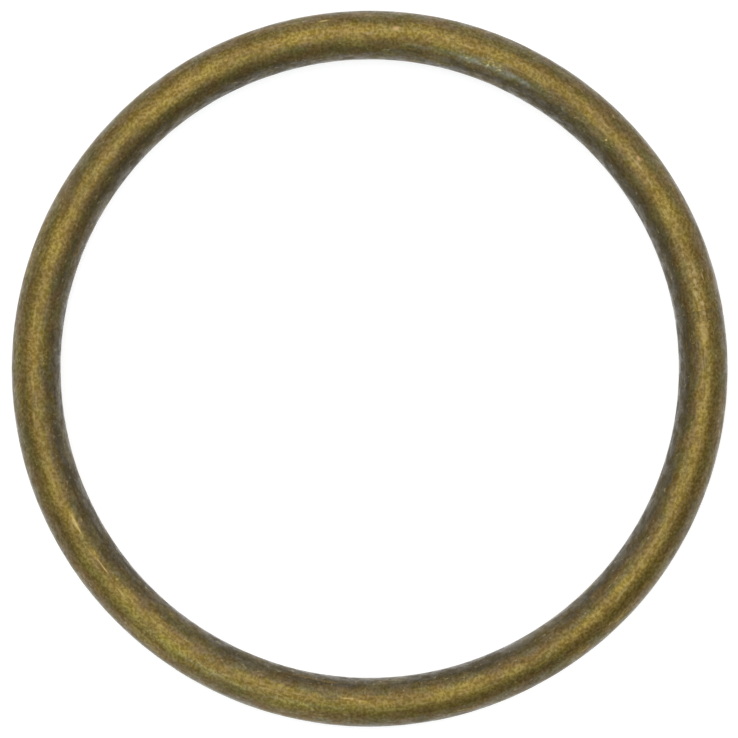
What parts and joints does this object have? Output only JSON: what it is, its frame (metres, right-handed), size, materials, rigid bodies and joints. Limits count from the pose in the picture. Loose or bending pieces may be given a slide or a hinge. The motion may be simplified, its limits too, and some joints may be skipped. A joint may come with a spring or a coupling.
{
  "type": "welded metal ring",
  "caption": "Plain closed ring of round wire in antique brass, butt welded shut, onto which keys, clips, straps or cords are looped.",
  "frame": {"origin": "centre of the ring, in the plane of its wire", "axes": "+Z along the ring's axis, out of its front face; +Y towards the top of the ring as it is seen from the front, with the weld on the +X side"},
  "size_m": [0.044, 0.044, 0.003],
  "materials": {
    "antique_brass": "antique brass plating, darkened and rubbed back to a satin, speckled bronze brown",
    "weld_metal": "dressed butt weld under the same plating, a little darker and rougher"
  },
  "bodies": {
    "root": {"ring_wire": "antique_brass", "weld_seam": "weld_metal"}
  },
  "joints": []
}
